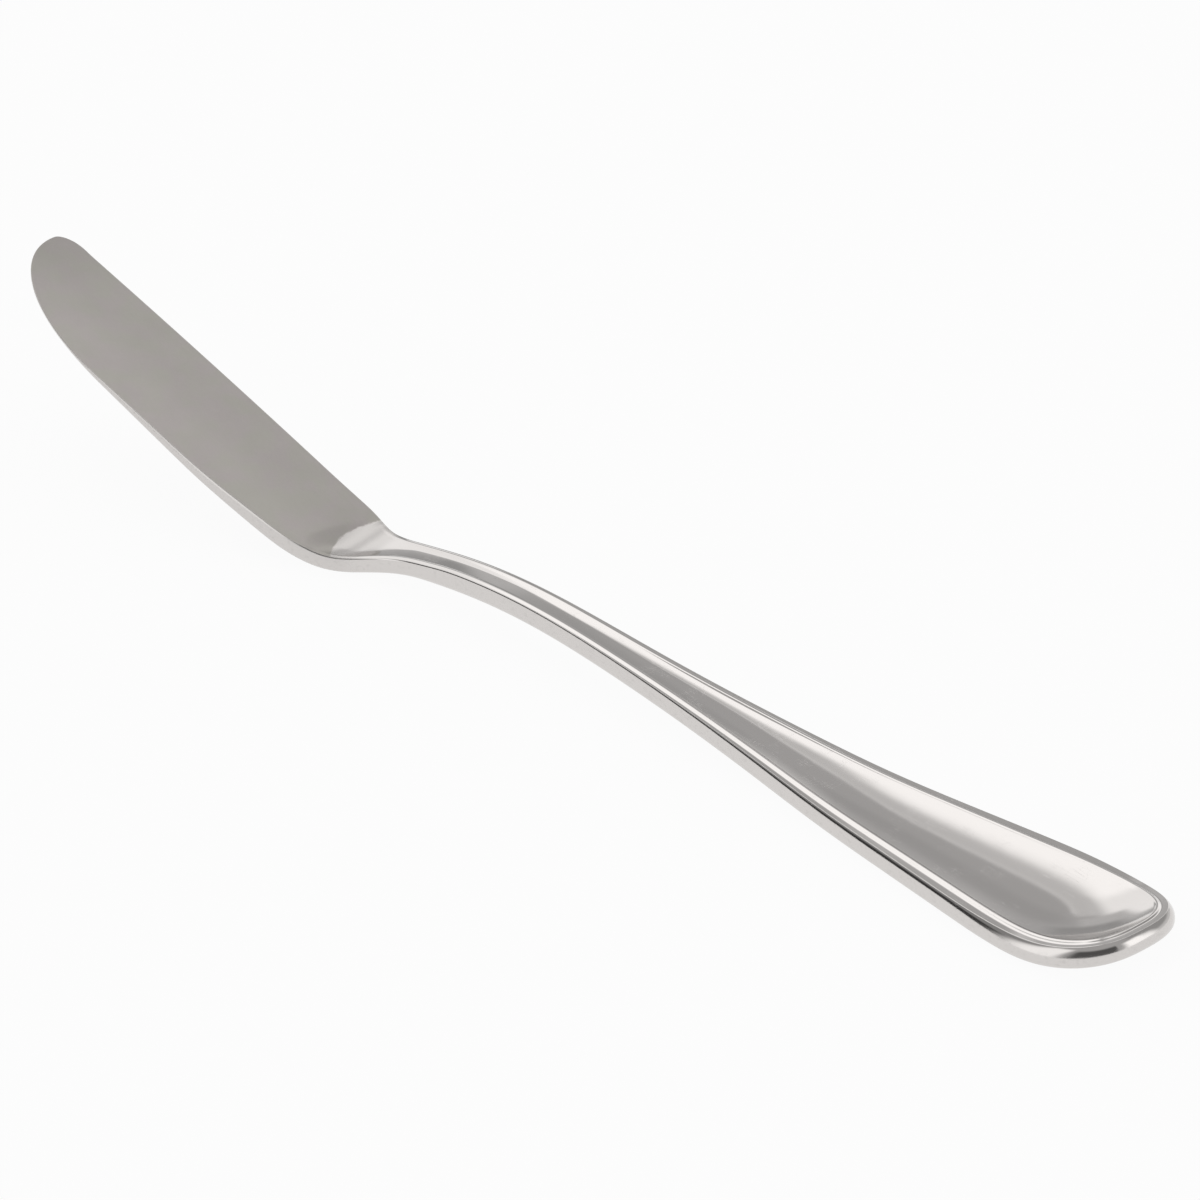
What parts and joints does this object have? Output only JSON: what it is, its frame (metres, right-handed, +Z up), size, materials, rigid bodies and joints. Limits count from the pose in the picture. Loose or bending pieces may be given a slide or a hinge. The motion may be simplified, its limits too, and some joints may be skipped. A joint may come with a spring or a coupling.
{
  "type": "butter knife",
  "caption": "One-piece steel butter knife with a flat handle: a rounded spreading blade rises from the heel, and the handle has a dished face with a raised border thread.",
  "frame": {"origin": "centre of the bounding box's base: level with the two flats that the knife rests on, half way along it and half way across it", "axes": "+X along the knife from the handle end to the blade tip, +Y across it towards the cutting edge, +Z up, out of the patterned face"},
  "size_m": [0.17, 0.0186, 0.0182],
  "materials": {
    "stainless_steel": "mirror-polished handle and heel, fine satin on the blade"
  },
  "bodies": {
    "root": {"butter_knife": "stainless_steel"}
  },
  "joints": []
}
